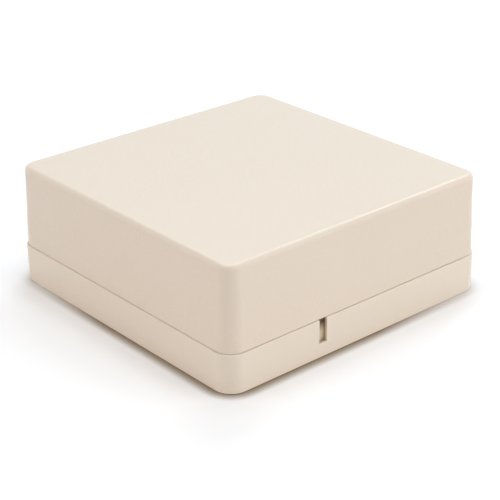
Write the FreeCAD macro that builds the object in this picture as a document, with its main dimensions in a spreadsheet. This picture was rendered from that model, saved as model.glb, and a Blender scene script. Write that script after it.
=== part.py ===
# Square junction box for surface trunking: base, push-on cover and a terminal block inside.
# Millimetres. The origin is the middle of the back face that lies on the wall, +Z points away from the wall.
import FreeCAD
import Part
import Sketcher
import os

POLES = 5
QUARTER_TURN = 1.5707963267948966

# alias, millimetres, what it measures
SIZES = (
    ("base_side", 80.0, "outside of the base, both ways"),
    ("base_rise", 9.5, "height of the base's outside wall"),
    ("box_height", 30.0, "back face to the top of the cover"),
    ("corner_radius", 4.7, "upright corners of the base"),
    ("base_wall", 2.0, "wall of the base"),
    ("floor_thickness", 2.0, "floor of the base"),
    ("rim_radius", 0.3, "outer edge of the base's rim"),
    ("foot_break", 0.15, "outer edge of the back face"),
    ("parting_gap", 0.1, "shadow line between base and cover"),
    ("cover_inset", 0.35, "cover set back from the base at the shadow line"),
    ("cover_lean", 0.65, "inward lean of the cover's wall from foot to top"),
    ("cover_wall", 1.8, "wall and top of the cover"),
    ("crown_radius", 1.2, "outer edge round the top of the cover"),
    ("inner_crown_break", 0.6, "inner edge round the top of the cover"),
    ("tongue_width", 12.0, "snap tongue along the wall"),
    ("tongue_thickness", 1.4, "snap tongue through its leaf"),
    ("tongue_reach", 5.0, "snap tongue below the base's rim"),
    ("tongue_root", 9.0, "rib that carries the tongue up inside the cover"),
    ("tongue_clear", 0.35, "tongue to the base's inner wall"),
    ("tongue_corner_gap", 3.0, "tongue to the start of the base's inner corner"),
    ("tongue_lead", 0.5, "lead-in chamfer at the tongue's tip"),
    ("bead_proud", 0.25, "snap bead standing out of the tongue"),
    ("bead_height", 1.0, "snap bead up the tongue"),
    ("bead_drop", 3.2, "middle of the snap bead below the base's rim"),
    ("groove_depth", 0.3, "groove for the snap bead in the base's wall"),
    ("groove_clear", 0.2, "groove above, below and beside its bead"),
    ("entry_width", 20.0, "trunking break-out along each wall"),
    ("entry_height", 8.0, "trunking break-out up the cover's wall"),
    ("entry_web", 0.8, "plastic left in a break-out"),
    ("pry_gap", 1.3, "pry slot to the break-out beside it"),
    ("pry_width", 2.3, "pry slot across"),
    ("pry_drop", 5.9, "pry slot below the base's rim"),
    ("pry_depth", 0.9, "pry slot into the wall"),
    ("fixing_spacing", 60.0, "wall screw slots, middle to middle"),
    ("fixing_width", 4.5, "wall screw slot across"),
    ("fixing_length", 8.5, "wall screw slot end to end"),
    ("rear_entry_radius", 9.0, "round break-out in the floor"),
    ("rear_entry_spacing", 40.0, "round break-outs, middle to middle along X"),
    ("rear_entry_gap", 3.5, "round break-out to the side of the terminal block"),
    ("score_width", 1.2, "scored ring round the floor's break-out, across its V"),
    ("boss_radius", 3.0, "boss under a lug of the terminal block"),
    ("boss_rise", 3.0, "boss above the floor"),
    ("pilot_skin", 0.6, "floor left under a boss's pilot hole"),
    ("pilot_spare", 0.4, "pilot hole below the tip of its screw"),
    ("pole_pitch", 9.6, "terminal poles, middle to middle"),
    ("fin_thickness", 1.6, "barrier between poles"),
    ("fin_rise", 12.0, "barrier above the block's foot"),
    ("fin_radius", 0.5, "rounded top edge of a barrier"),
    ("block_length", 22.0, "terminal block along the wires"),
    ("seat_rise", 6.0, "plate seat above the block's foot"),
    ("lug_length", 7.0, "fixing lug beyond the last barrier"),
    ("lug_width", 10.0, "fixing lug along the wires"),
    ("lug_rise", 4.0, "fixing lug above the block's foot"),
    ("plate_clear", 0.3, "brass plate to the barrier on each side"),
    ("plate_length", 20.0, "brass plate along the wires"),
    ("plate_thickness", 1.5, "brass plate"),
    ("washer_length", 7.0, "clamp washer along the wires"),
    ("washer_thickness", 1.0, "clamp washer"),
    ("clamp_place", 5.5, "clamp screw from the block's middle"),
    ("clamp_radius", 1.75, "clamp screw's shank"),
    ("clamp_grip", 3.0, "clamp screw's shank below its plate"),
    ("clamp_spare", 0.5, "hole below the tip of a clamp screw"),
    ("clamp_head_radius", 3.1, "clamp screw's head"),
    ("clamp_head_height", 2.0, "clamp screw's head"),
    ("block_screw_radius", 1.25, "block screw's shank"),
    ("block_head_radius", 2.4, "block screw's head"),
    ("block_head_height", 1.7, "block screw's head"),
    ("slot_width", 0.9, "driver slot in a screw head"),
    ("slot_depth", 1.0, "driver slot in a screw head"),
    ("hole_clear", 0.2, "screw inside a plain hole"),
    ("thread_clear", 0.05, "screw inside the hole it turns into"),
)


class Size:
    """A length that carries its number and the sheet expression that drives it."""

    def __init__(self, number, text):
        self.number = number
        self.text = text

    def _with(self, other, sign, number):
        return Size(number, "(%s %s %s)" % (self.text, sign, other.text))

    def __add__(self, other):
        return self._with(other, "+", self.number + other.number)

    def __sub__(self, other):
        return self._with(other, "-", self.number - other.number)

    def __mul__(self, factor):
        return Size(self.number * factor, "(%s * %r)" % (self.text, factor))

    def __truediv__(self, factor):
        return self * (1.0 / factor)

    def __neg__(self):
        return Size(-self.number, "(0 - %s)" % self.text)


ZERO = Size(0.0, "0")
OVERRUN = Size(1.0, "1")


def make_sheet(doc):
    """Write every driving size into a spreadsheet and return the sizes by name."""
    sheet = doc.addObject("Spreadsheet::Sheet", "Sizes")
    for row, (alias, number, note) in enumerate(SIZES, start=1):
        sheet.set("A%d" % row, alias)
        sheet.set("B%d" % row, repr(number))
        sheet.set("C%d" % row, note)
        sheet.setAlias("B%d" % row, alias)
    doc.recompute()
    return {alias: Size(float(sheet.get(alias)), "Sizes." + alias) for alias, _, _ in SIZES}


def origin_part(body, role):
    """Return a body's own origin plane or axis by its role."""
    return next(part for part in body.Origin.OriginFeatures if part.Role == role)


def new_sketch(body, name, plane="XY_Plane", shift=ZERO):
    """Add a sketch on one of the body's origin planes, moved along the plane's normal."""
    sketch = body.newObject("Sketcher::SketchObject", body.Name + "_" + name)
    sketch.AttachmentSupport = (origin_part(body, plane), [""])
    sketch.MapMode = "FlatFace"
    sketch.setExpression("AttachmentOffset.Base.z", shift.text)
    return sketch


def hold(sketch, kind, *where):
    """Add one constraint whose last item may be a driving size."""
    if isinstance(where[-1], Size):
        size = where[-1]
        index = sketch.addConstraint(Sketcher.Constraint(kind, *where[:-1], size.number))
        sketch.setExpression("Constraints[%d]" % index, size.text)
    else:
        sketch.addConstraint(Sketcher.Constraint(kind, *where))


def pin(sketch, curve, point, x, y):
    """Hold one point of a curve at a place measured from the sketch's origin."""
    for kind, size, axis in (("DistanceX", x, -2), ("DistanceY", y, -1)):
        if size is ZERO:
            hold(sketch, "PointOnObject", curve, point, axis)
        else:
            hold(sketch, kind, -1, 1, curve, point, size)


def vector(x, y):
    """Return a sketch point from two sizes."""
    return FreeCAD.Vector(x.number, y.number, 0)


def line(sketch, start, end):
    """Draw a straight line between two points."""
    return sketch.addGeometry(Part.LineSegment(vector(*start), vector(*end)), False)


def arc(sketch, x, y, radius, start, end):
    """Draw an arc between two angles in quarter turns."""
    whole = Part.Circle(vector(x, y), FreeCAD.Vector(0, 0, 1), radius.number)
    return sketch.addGeometry(Part.ArcOfCircle(whole, start * QUARTER_TURN, end * QUARTER_TURN), False)


def circle(sketch, x, y, radius):
    """Draw a circle with a held middle."""
    ring = sketch.addGeometry(Part.Circle(vector(x, y), FreeCAD.Vector(0, 0, 1), radius.number), False)
    pin(sketch, ring, 3, x, y)
    hold(sketch, "Radius", ring, radius)


def rectangle(sketch, left, low, right, high):
    """Draw a rectangle between two held corners."""
    corners = [(left, low), (right, low), (right, high), (left, high)]
    sides = [line(sketch, corners[i], corners[(i + 1) % 4]) for i in range(4)]
    for i in range(4):
        hold(sketch, "Coincident", sides[i], 2, sides[(i + 1) % 4], 1)
        hold(sketch, "Horizontal" if i % 2 == 0 else "Vertical", sides[i])
    pin(sketch, sides[0], 1, left, low)
    pin(sketch, sides[2], 1, right, high)


def polygon(sketch, *corners):
    """Draw straight sides between corners that are each held."""
    count = len(corners)
    sides = [line(sketch, corners[i], corners[(i + 1) % count]) for i in range(count)]
    for i in range(count):
        hold(sketch, "Coincident", sides[i], 2, sides[(i + 1) % count], 1)
        pin(sketch, sides[i], 1, *corners[i])


def rounded_square(sketch, half, radius):
    """Draw a square about the origin with rounded corners."""
    flat = half - radius
    turns = ((-1, -1), (1, -1), (1, 1), (-1, 1))
    arcs = [arc(sketch, flat * sx, flat * sy, radius, i + 2, i + 3) for i, (sx, sy) in enumerate(turns)]
    sides = [
        line(sketch, (-flat, -half), (flat, -half)),
        line(sketch, (half, -flat), (half, flat)),
        line(sketch, (flat, half), (-flat, half)),
        line(sketch, (-half, flat), (-half, -flat)),
    ]
    for i, (sx, sy) in enumerate(turns):
        hold(sketch, "Tangent", arcs[i], 2, sides[i], 1)
        hold(sketch, "Tangent", sides[i], 2, arcs[(i + 1) % 4], 1)
        pin(sketch, arcs[i], 3, flat * sx, flat * sy)
    hold(sketch, "Radius", arcs[0], radius)


def long_slot(sketch, y, length, width):
    """Draw a slot with round ends that runs along Y, astride the X axis's zero."""
    radius = width / 2
    reach = (length - width) / 2
    low = arc(sketch, ZERO, y - reach, radius, 2, 4)
    high = arc(sketch, ZERO, y + reach, radius, 0, 2)
    right = line(sketch, (radius, y - reach), (radius, y + reach))
    left = line(sketch, (-radius, y + reach), (-radius, y - reach))
    hold(sketch, "Tangent", low, 2, right, 1)
    hold(sketch, "Tangent", right, 2, high, 1)
    hold(sketch, "Tangent", high, 2, left, 1)
    hold(sketch, "Tangent", left, 2, low, 1)
    pin(sketch, low, 3, ZERO, y - reach)
    pin(sketch, high, 3, ZERO, y + reach)
    hold(sketch, "Radius", low, radius)


def on_four_sides(sketch, first, last, inner, outer):
    """Draw the same rectangle at each wall: its span along the wall and its span outward."""
    rectangle(sketch, first, -outer, last, -inner)
    rectangle(sketch, inner, first, outer, last)
    rectangle(sketch, -last, inner, -first, outer)
    rectangle(sketch, -outer, -last, -inner, -first)


def make_tip(body, feature):
    """Make a feature the body's last one and bring the model up to date."""
    body.Tip = feature
    body.Document.recompute()
    return feature


def extrude(body, kind, sketch, name, length):
    """Pad a sketch upward or pocket it downward by a driving size."""
    feature = body.newObject("PartDesign::" + kind, body.Name + "_" + name)
    feature.Profile = sketch
    feature.setExpression("Length", length.text)
    return make_tip(body, feature)


def turn_copies(body, name, features, count):
    """Repeat features about the upright axis, evenly round a full turn."""
    turned = body.newObject("PartDesign::PolarPattern", body.Name + "_" + name)
    turned.Originals = features
    turned.Axis = (origin_part(body, "Z_Axis"), [""])
    turned.Angle = 360
    turned.Occurrences = count
    return make_tip(body, turned)


def ease(body, kind, feature, name, size, keep):
    """Fillet or chamfer the edges that pass a test."""
    edges = ["Edge%d" % (i + 1) for i, edge in enumerate(feature.Shape.Edges) if keep(edge)]
    eased = body.newObject("PartDesign::" + kind, body.Name + "_" + name)
    eased.Base = (feature, edges)
    eased.setExpression("Radius" if kind == "Fillet" else "Size", size.text)
    return make_tip(body, eased)


def near(number, size):
    """Tell whether a measured length is a stated size."""
    return abs(number - size.number) < 0.001


def level_with(edge, height):
    """Tell whether a whole edge lies at one height."""
    return near(edge.BoundBox.ZMin, height) and near(edge.BoundBox.ZMax, height)


def spread(edge):
    """Return how far an edge reaches from the upright axis, along X or Y."""
    box = edge.BoundBox
    return max(abs(box.XMin), abs(box.XMax), abs(box.YMin), abs(box.YMax))


def face_at(feature, height):
    """Name the flat face that lies at one height."""
    faces = enumerate(feature.Shape.Faces, start=1)
    return next("Face%d" % i for i, face in faces if level_with(face, height))


def tongue_spans(s):
    """Return where each pair of tongues starts and ends along a wall."""
    inner = s["base_side"] / 2 - s["base_wall"]
    last = inner - (s["corner_radius"] - s["base_wall"]) - s["tongue_corner_gap"]
    first = last - s["tongue_width"]
    return ((first, last), (-last, -first))


def pole_places(s):
    """Return the place of every terminal pole along X."""
    middle = (POLES - 1) / 2
    return [ZERO if i == middle else s["pole_pitch"] * (i - middle) for i in range(POLES)]


def clamp_places(s):
    """Return the place of both clamp screws of every pole."""
    return [(x, s["clamp_place"] * side) for x in pole_places(s) for side in (-1, 1)]


def block_half(s):
    """Return the terminal block's half width across its poles, without the lugs."""
    return s["pole_pitch"] * (POLES / 2) + s["fin_thickness"] / 2


def lug_places(s):
    """Return the place of both block screws, in the middle of each lug."""
    away = block_half(s) + s["lug_length"] / 2
    return [(-away, ZERO), (away, ZERO)]


def block_foot(s):
    """Return the height at which the terminal block stands on its bosses."""
    return s["floor_thickness"] + s["boss_rise"]


def plate_half(s):
    """Return the half width of a brass plate between its barriers."""
    return (s["pole_pitch"] - s["fin_thickness"]) / 2 - s["plate_clear"]


def make_base(doc, s):
    """Mould the base: a low tray with its break-outs, pry slot, bosses and wall screw slots."""
    body = doc.addObject("PartDesign::Body", "base")
    half = s["base_side"] / 2
    inner = half - s["base_wall"]
    floor = s["floor_thickness"]
    rim = s["base_rise"]

    outline = new_sketch(body, "outline")
    rounded_square(outline, half, s["corner_radius"])
    block = extrude(body, "Pad", outline, "block", rim)
    eased = ease(body, "Fillet", block, "rim_edge", s["rim_radius"], lambda e: level_with(e, rim))
    ease(body, "Chamfer", eased, "foot_edge", s["foot_break"], lambda e: level_with(e, ZERO))

    tray = new_sketch(body, "tray", shift=rim)
    rounded_square(tray, inner, s["corner_radius"] - s["base_wall"])
    extrude(body, "Pocket", tray, "hollow", rim - floor)

    entry = new_sketch(body, "entry", shift=rim)
    half_entry = s["entry_width"] / 2
    on_four_sides(entry, -half_entry, half_entry, inner - OVERRUN, half - s["entry_web"])
    extrude(body, "Pocket", entry, "break_outs", rim - floor)

    pry = new_sketch(body, "pry", shift=rim)
    pry_near = half_entry + s["pry_gap"]
    pry_far = pry_near + s["pry_width"]
    rectangle(pry, -pry_far, -(half + OVERRUN), -pry_near, -(half - s["pry_depth"]))
    extrude(body, "Pocket", pry, "pry_slot", s["pry_drop"])

    bead_half = s["bead_height"] / 2 + s["groove_clear"]
    groove = new_sketch(body, "groove", shift=rim - s["bead_drop"] + bead_half)
    for first, last in tongue_spans(s):
        start = first - s["groove_clear"]
        end = last + s["groove_clear"]
        on_four_sides(groove, start, end, inner - OVERRUN, inner + s["groove_depth"])
    extrude(body, "Pocket", groove, "snap_grooves", bead_half * 2)

    boss = new_sketch(body, "boss", shift=floor)
    pilot = new_sketch(body, "pilot", shift=block_foot(s))
    for x, y in lug_places(s):
        circle(boss, x, y, s["boss_radius"])
        circle(pilot, x, y, s["block_screw_radius"] + s["thread_clear"])
    extrude(body, "Pad", boss, "bosses", s["boss_rise"])
    extrude(body, "Pocket", pilot, "pilot_holes", block_foot(s) - s["pilot_skin"])

    fixing = new_sketch(body, "fixing", shift=floor)
    for side in (-1, 1):
        long_slot(fixing, s["fixing_spacing"] / 2 * side, s["fixing_length"], s["fixing_width"])
    extrude(body, "Pocket", fixing, "wall_screw_slots", floor)
    score_floor(body, s)
    return body


def score_floor(body, s):
    """Score a ring of V section round each of the floor's four break-outs."""
    floor = s["floor_thickness"]
    radius = s["rear_entry_radius"]
    forward = s["block_length"] / 2 + s["rear_entry_gap"] + radius
    rings = []
    for side in (-1, 1):
        name = "left" if side < 0 else "right"
        score = new_sketch(body, name + "_score", "XZ_Plane", forward)
        score.setExpression("AttachmentOffset.Base.x", (s["rear_entry_spacing"] / 2 * side).text)
        bottom = (radius - s["score_width"] / 2, s["entry_web"])
        polygon(score, (radius - s["score_width"], floor), bottom, (radius, floor))
        ring = body.newObject("PartDesign::Groove", body.Name + "_" + name + "_ring")
        ring.Profile = score
        ring.ReferenceAxis = (score, ["V_Axis"])
        ring.Angle = 360
        rings.append(make_tip(body, ring))
    turn_copies(body, "rear_break_outs", rings, 2)


def make_shell(body, s, half, foot, top):
    """Mould the cover's plain shell: leaning walls, one wall thickness and rounded top edges."""
    outline = new_sketch(body, "outline", shift=foot)
    rounded_square(outline, half, s["corner_radius"] - s["cover_inset"])
    block = extrude(body, "Pad", outline, "block", top - foot)

    faces = enumerate(block.Shape.Faces, start=1)
    draft = body.newObject("PartDesign::Draft", "cover_draft")
    draft.Base = (block, ["Face%d" % i for i, face in faces if face.BoundBox.ZLength > 1])
    draft.NeutralPlane = (block, [face_at(block, foot)])
    draft.setExpression("Angle", "atan(%s / %s)" % (s["cover_lean"].text, (top - foot).text))
    make_tip(body, draft)

    shell = body.newObject("PartDesign::Thickness", "cover_shell")
    shell.Base = (draft, [face_at(draft, foot)])
    shell.Mode = "Skin"
    shell.Join = "Intersection"
    shell.Reversed = True
    shell.setExpression("Value", s["cover_wall"].text)
    make_tip(body, shell)

    ceiling = top - s["cover_wall"]
    crown = ease(body, "Fillet", shell, "crown", s["crown_radius"], lambda e: level_with(e, top))
    ease(body, "Chamfer", crown, "inner_crown", s["inner_crown_break"], lambda e: level_with(e, ceiling))


def thin_break_outs(body, s, half, foot, top):
    """Thin the cover's four walls to a web where trunking may enter, along the lean of the wall."""
    web = new_sketch(body, "web", "XZ_Plane", half - s["entry_web"])
    web.AttachmentOffset = FreeCAD.Placement(
        FreeCAD.Vector(), FreeCAD.Rotation(FreeCAD.Vector(-1, 0, 0), 3.0)
    )
    web.setExpression("AttachmentOffset.Base.y", foot.text)
    lean = "atan(%s / %s)" % (s["cover_lean"].text, (top - foot).text)
    web.setExpression("AttachmentOffset.Rotation.Angle", lean)
    half_entry = s["entry_width"] / 2
    rectangle(web, -half_entry, -OVERRUN, half_entry, s["entry_height"])
    thin = extrude(body, "Pocket", web, "break_out", s["cover_wall"])
    turn_copies(body, "break_outs", [thin], 4)


def make_cover(doc, s):
    """Mould the cover: a deep shell with thin break-outs and eight snap tongues."""
    body = doc.addObject("PartDesign::Body", "cover")
    foot = s["base_rise"] + s["parting_gap"]
    top = s["box_height"]
    half = s["base_side"] / 2 - s["cover_inset"]
    make_shell(body, s, half, foot, top)
    thin_break_outs(body, s, half, foot, top)

    outer = s["base_side"] / 2 - s["base_wall"] - s["tongue_clear"]
    inner = outer - s["tongue_thickness"]
    tip = s["base_rise"] - s["tongue_reach"]
    root = new_sketch(body, "root", shift=foot)
    leaf = new_sketch(body, "leaf", shift=tip)
    bead = new_sketch(body, "bead", shift=s["base_rise"] - s["bead_drop"] - s["bead_height"] / 2)
    for first, last in tongue_spans(s):
        on_four_sides(root, first, last, inner, half - s["cover_wall"] / 2)
        on_four_sides(leaf, first, last, inner, outer)
        on_four_sides(bead, first, last, inner + s["tongue_thickness"] / 2, outer + s["bead_proud"])
    extrude(body, "Pad", root, "roots", s["tongue_root"])
    tongues = extrude(body, "Pad", leaf, "tongues", foot - tip + OVERRUN)
    ease(
        body, "Chamfer", tongues, "lead_in", s["tongue_lead"],
        lambda e: level_with(e, tip) and near(e.Length, s["tongue_width"]) and near(spread(e), outer),
    )
    extrude(body, "Pad", bead, "beads", s["bead_height"])
    return body


def make_block(doc, s):
    """Mould the terminal block: a bar with barriers between its poles and a fixing lug at each end."""
    body = doc.addObject("PartDesign::Body", "terminal_block")
    foot = block_foot(s)
    half = block_half(s)
    half_length = s["block_length"] / 2
    half_lug = s["lug_width"] / 2
    lug_end = half + s["lug_length"]

    bar = new_sketch(body, "bar", shift=foot)
    rectangle(bar, -half, -half_length, half, half_length)
    extrude(body, "Pad", bar, "seat", s["seat_rise"])
    lug = new_sketch(body, "lug", shift=foot)
    rectangle(lug, -lug_end, -half_lug, lug_end, half_lug)
    extrude(body, "Pad", lug, "lugs", s["lug_rise"])

    fin = new_sketch(body, "fin", shift=foot)
    half_fin = s["fin_thickness"] / 2
    for i in range(POLES + 1):
        x = s["pole_pitch"] * (i - POLES / 2)
        rectangle(fin, x - half_fin, -half_length, x + half_fin, half_length)
    fins = extrude(body, "Pad", fin, "fins", s["fin_rise"])
    fin_top = foot + s["fin_rise"]
    ease(
        body, "Fillet", fins, "fin_tops", s["fin_radius"],
        lambda e: level_with(e, fin_top) and near(e.Length, s["block_length"]),
    )

    well = new_sketch(body, "well", shift=foot + s["seat_rise"])
    for x, y in clamp_places(s):
        circle(well, x, y, s["clamp_radius"] + s["hole_clear"])
    extrude(body, "Pocket", well, "wells", s["clamp_grip"] + s["clamp_spare"])
    hole = new_sketch(body, "hole", shift=foot + s["lug_rise"])
    for x, y in lug_places(s):
        circle(hole, x, y, s["block_screw_radius"] + s["hole_clear"])
    extrude(body, "Pocket", hole, "lug_holes", s["lug_rise"])
    return body


def make_plate(doc, s, number, x):
    """Stamp one brass plate with its two tapped holes."""
    body = doc.addObject("PartDesign::Body", "bus_plate_%d" % number)
    seat = block_foot(s) + s["seat_rise"]
    half = plate_half(s)
    half_length = s["plate_length"] / 2
    outline = new_sketch(body, "outline", shift=seat)
    rectangle(outline, x - half, -half_length, x + half, half_length)
    extrude(body, "Pad", outline, "sheet", s["plate_thickness"])
    tapped = new_sketch(body, "tapped", shift=seat + s["plate_thickness"])
    for side in (-1, 1):
        circle(tapped, x, s["clamp_place"] * side, s["clamp_radius"] + s["thread_clear"])
    extrude(body, "Pocket", tapped, "tapped_holes", s["plate_thickness"])
    return body


def make_washers(doc, s):
    """Stamp the square clamp washers, one under each clamp screw's head."""
    body = doc.addObject("PartDesign::Body", "clamp_washers")
    body.AllowCompound = True
    seat = block_foot(s) + s["seat_rise"] + s["plate_thickness"]
    half = plate_half(s) - s["hole_clear"]
    half_length = s["washer_length"] / 2
    sheet = new_sketch(body, "sheet", shift=seat)
    for x, y in clamp_places(s):
        rectangle(sheet, x - half, y - half_length, x + half, y + half_length)
        circle(sheet, x, y, s["clamp_radius"] + s["hole_clear"])
    extrude(body, "Pad", sheet, "sheets", s["washer_thickness"])
    return body


def make_screws(doc, name, s, places, seat, shank, length, head, height):
    """Turn a group of like screws, each a shank under a slotted head."""
    body = doc.addObject("PartDesign::Body", name)
    body.AllowCompound = True
    shanks = new_sketch(body, "shank", shift=seat - length)
    heads = new_sketch(body, "head", shift=seat)
    slots = new_sketch(body, "slot", shift=seat + height)
    half_slot = s["slot_width"] / 2
    reach = head + s["hole_clear"]
    for x, y in places:
        circle(shanks, x, y, shank)
        circle(heads, x, y, head)
        rectangle(slots, x - reach, y - half_slot, x + reach, y + half_slot)
    extrude(body, "Pad", shanks, "shanks", length + height / 2)
    extrude(body, "Pad", heads, "heads", height)
    extrude(body, "Pocket", slots, "slots", s["slot_depth"])
    return body


def make_clamp_screws(doc, s):
    """Set two clamp screws in every pole, down on their washers."""
    stack = s["plate_thickness"] + s["washer_thickness"]
    seat = block_foot(s) + s["seat_rise"] + stack
    return make_screws(
        doc, "clamp_screws", s, clamp_places(s), seat,
        s["clamp_radius"], stack + s["clamp_grip"], s["clamp_head_radius"], s["clamp_head_height"],
    )


def make_block_screws(doc, s):
    """Drive the two screws that hold the terminal block's lugs down on the bosses."""
    seat = block_foot(s) + s["lug_rise"]
    tip = s["pilot_skin"] + s["pilot_spare"]
    return make_screws(
        doc, "block_screws", s, lug_places(s), seat,
        s["block_screw_radius"], seat - tip, s["block_head_radius"], s["block_head_height"],
    )


def export(doc, bodies):
    """Check every object of the document and write one file for each piece."""
    doc.recompute()
    for item in doc.Objects:
        if "Invalid" in item.State or "Error" in item.State:
            raise RuntimeError("%s is not sound: %s" % (item.Label, item.State))
    os.makedirs("parts", exist_ok=True)
    for body in bodies:
        if body.Shape.isNull() or not body.Shape.isValid() or not body.Shape.Solids:
            raise RuntimeError("%s has no valid solid" % body.Label)
        body.Shape.exportStep("parts/%s.step" % body.Label)
        print("%s: %d solid(s), %.1f mm3" % (body.Label, len(body.Shape.Solids), body.Shape.Volume))


def main():
    """Build the junction box from its sheet of sizes."""
    doc = FreeCAD.newDocument("junction_box")
    s = make_sheet(doc)
    bodies = [make_base(doc, s), make_cover(doc, s), make_block(doc, s)]
    for number, x in enumerate(pole_places(s), start=1):
        bodies.append(make_plate(doc, s, number, x))
    bodies.append(make_washers(doc, s))
    bodies.append(make_clamp_screws(doc, s))
    bodies.append(make_block_screws(doc, s))
    export(doc, bodies)


main()
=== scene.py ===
"""Dress the trunking junction box: moulded shells, terminal block, screws, floor, light and camera."""
import logging
import math
import random
from collections.abc import Callable
from dataclasses import dataclass
from enum import Enum

import bmesh
import bpy
from mathutils import Matrix, Vector


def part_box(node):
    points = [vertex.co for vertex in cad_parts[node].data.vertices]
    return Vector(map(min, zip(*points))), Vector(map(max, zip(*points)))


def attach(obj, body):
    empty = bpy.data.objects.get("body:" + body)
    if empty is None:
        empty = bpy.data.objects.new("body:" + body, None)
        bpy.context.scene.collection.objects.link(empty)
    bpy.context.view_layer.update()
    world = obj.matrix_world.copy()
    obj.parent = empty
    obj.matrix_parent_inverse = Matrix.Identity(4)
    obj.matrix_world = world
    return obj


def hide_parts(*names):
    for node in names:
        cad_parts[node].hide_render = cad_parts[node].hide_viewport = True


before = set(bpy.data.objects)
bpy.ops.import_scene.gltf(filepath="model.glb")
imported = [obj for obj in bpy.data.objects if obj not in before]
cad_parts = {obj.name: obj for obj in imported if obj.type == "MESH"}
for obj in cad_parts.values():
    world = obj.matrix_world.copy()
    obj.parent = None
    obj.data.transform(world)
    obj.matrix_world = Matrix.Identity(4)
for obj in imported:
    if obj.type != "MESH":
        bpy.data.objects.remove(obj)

LOG = logging.getLogger("junction_box")
MM = 0.001
UP = Vector((0.0, 0.0, 1.0))
TURNING_MAP = "turning"
Colour = tuple[float, float, float]
Range = tuple[float, float]
Piece = bpy.types.Object
Socket = bpy.types.NodeSocket
Test = Callable[[bmesh.types.BMFace | bmesh.types.BMEdge], bool]


class Body(Enum):
    """The two bodies that pieces ride on."""

    BASE = "base"
    COVER = "cover"


class Slot(Enum):
    """The record's material slots."""

    BASE = "base"
    COVER = "cover"
    INSULATOR = "insulator"
    PLATE = "plate"
    STEEL = "plated_steel"


class Pick(Enum):
    """What a selection in edit mode takes."""

    FACES = "FACE"
    EDGES = "EDGE"


class Effect(Enum):
    """Surface effects that several finishes share."""

    GRAIN = "moulded_grain"
    DRIFT = "tone_drift"
    RUB = "rubbed_edges"
    STREAK = "rolled_streaks"


class LampTone(Enum):
    """The tones of the studio lamps."""

    WARM = (0.983, 0.953, 0.937)
    ROSY = (1.0, 0.895, 0.825)
    COOL = (0.87, 0.935, 1.0)


@dataclass
class Wiring:
    """Places nodes in one node tree and joins their sockets."""

    SKY_SAMPLES = 12

    tree: bpy.types.NodeTree

    def add(self, kind: str, inputs: dict[str, object] | None = None, **settings: object) -> bpy.types.Node:
        """Add a node, set it up and fill or join its inputs.

        Args:
            kind: Blender's name for the node's type.
            inputs: A value or another node's output for each named input.
            settings: Properties of the node itself.

        Returns:
            The new node.
        """
        node = self.tree.nodes.new(kind)
        for name, value in settings.items():
            setattr(node, name, value)
        for name, value in (inputs or {}).items():
            self.feed(node, name, value)
        return node

    def feed(self, node: bpy.types.Node, name: str, value: object) -> None:
        """Give a node's named input a value, or join another node's output to it."""
        self.fill(self.find(node.inputs, name), value)

    def fill(self, target: Socket, value: object) -> None:
        """Give an input a value, or join another node's output to it.

        Args:
            target: The input.
            value: The value, or the output to join.
        """
        if isinstance(value, Socket):
            self.tree.links.new(value, target)
        else:
            target.default_value = value

    @staticmethod
    def find(sockets: bpy.types.bpy_prop_collection, name: str) -> Socket:
        """Find a socket by its identifier or, failing that, its name."""
        exact = [socket for socket in sockets if socket.identifier == name]
        return (exact or [socket for socket in sockets if socket.name == name])[0]

    def math(self, operation: str, *terms: object, clamp: bool = False) -> Socket:
        """Work out one number from others.

        Args:
            operation: Blender's name for the sum to do.
            terms: Numbers or outputs, in order.
            clamp: Whether the result is kept between 0 and 1.

        Returns:
            The output that carries the result.
        """
        node = self.add("ShaderNodeMath", operation=operation, use_clamp=clamp)
        for socket, term in zip(node.inputs, terms):
            self.fill(socket, term)
        return node.outputs[0]

    def rest(self, share: Socket) -> Socket:
        """Return what a share leaves of 1."""
        return self.math("SUBTRACT", 1.0, share)

    def span(self, value: Socket, low: float, high: float) -> Socket:
        """Stretch a value from 0 to 1 over a range of its own."""
        node = self.add("ShaderNodeMapRange", {"Value": value, "To Min": low, "To Max": high})
        return node.outputs["Result"]

    def ramp(self, value: Socket, start: float, end: float, top: float = 1.0) -> Socket:
        """Turn a value into one that rises from 0 at its start to a top at its end."""
        limits = {"Value": value, "From Min": start, "From Max": end, "To Max": top}
        return self.add("ShaderNodeMapRange", limits).outputs["Result"]

    def mix(self, share: Socket, first: object, second: object) -> Socket:
        """Mix two colours by a share that changes over the surface.

        Args:
            share: 0 for the first colour, 1 for the second.
            first: A colour, or an output that carries one.
            second: A colour, or an output that carries one.

        Returns:
            The output that carries the mixed colour.
        """
        node = self.add("ShaderNodeMix", data_type="RGBA")
        self.feed(node, "Factor_Float", share)
        for name, colour in (("A_Color", first), ("B_Color", second)):
            self.feed(node, name, colour if isinstance(colour, Socket) else (*colour, 1.0))
        return self.find(node.outputs, "Result_Color")

    def point(self) -> Socket:
        """Return the place of a point in its piece's own frame."""
        return self.add("ShaderNodeTexCoord").outputs["Object"]

    def axes(self) -> list[Socket]:
        """Return the place of a point along X, Y and Z."""
        return list(self.add("ShaderNodeSeparateXYZ", {"Vector": self.point()}).outputs)

    def noise(self, place: Socket, scale: Socket | float, **values: float) -> Socket:
        """Return a cloudy value, read at a place and as fine as its scale says."""
        return self.add("ShaderNodeTexNoise", {"Vector": place, "Scale": scale, **values}).outputs["Fac"]

    def openness(self, reach: float) -> Socket:
        """Return how open the surroundings of a point are, as far as a reach."""
        node = self.add("ShaderNodeAmbientOcclusion", {"Distance": reach}, samples=self.SKY_SAMPLES)
        return node.outputs["AO"]

    def bump(self, height: Socket, depth: float, strength: float) -> Socket:
        """Return the normal of a surface that a height raises."""
        node = self.add("ShaderNodeBump", {"Height": height, "Distance": depth, "Strength": strength})
        return node.outputs["Normal"]


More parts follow.
